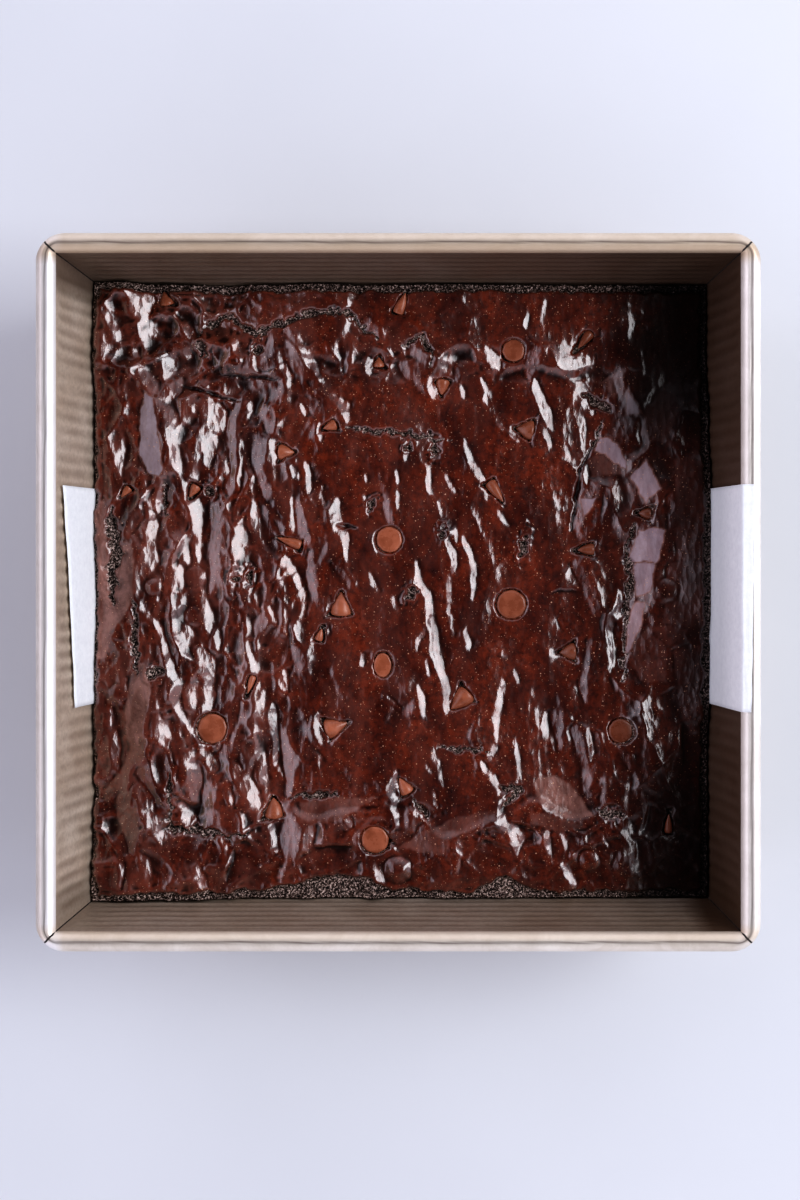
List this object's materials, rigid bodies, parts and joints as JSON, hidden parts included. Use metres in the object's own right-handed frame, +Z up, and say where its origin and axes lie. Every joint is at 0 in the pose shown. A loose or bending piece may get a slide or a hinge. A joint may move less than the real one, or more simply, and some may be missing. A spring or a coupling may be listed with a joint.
{
  "type": "tin of cocoa brownie",
  "caption": "Uncut slab of cocoa brownie with chocolate chips and a wrinkled glossy skin, in its square fluted baking tin lined with a strip of baking paper.",
  "frame": {"origin": "middle of the flat underside of the baking tin", "axes": "+Z up, +X towards the side where the paper is bent over the rim, +Y along the paper's width"},
  "size_m": [0.222, 0.22, 0.0606],
  "materials": {
    "tin_steel": "satin",
    "baking_paper": "matte",
    "brownie_skin": "gloss",
    "brownie_crumb": "matte",
    "chocolate_chip": "satin"
  },
  "bodies": {
    "root": {"baking_tin": "tin_steel", "parchment_sling": "baking_paper", "brownie": "brownie_skin"}
  },
  "joints": []
}
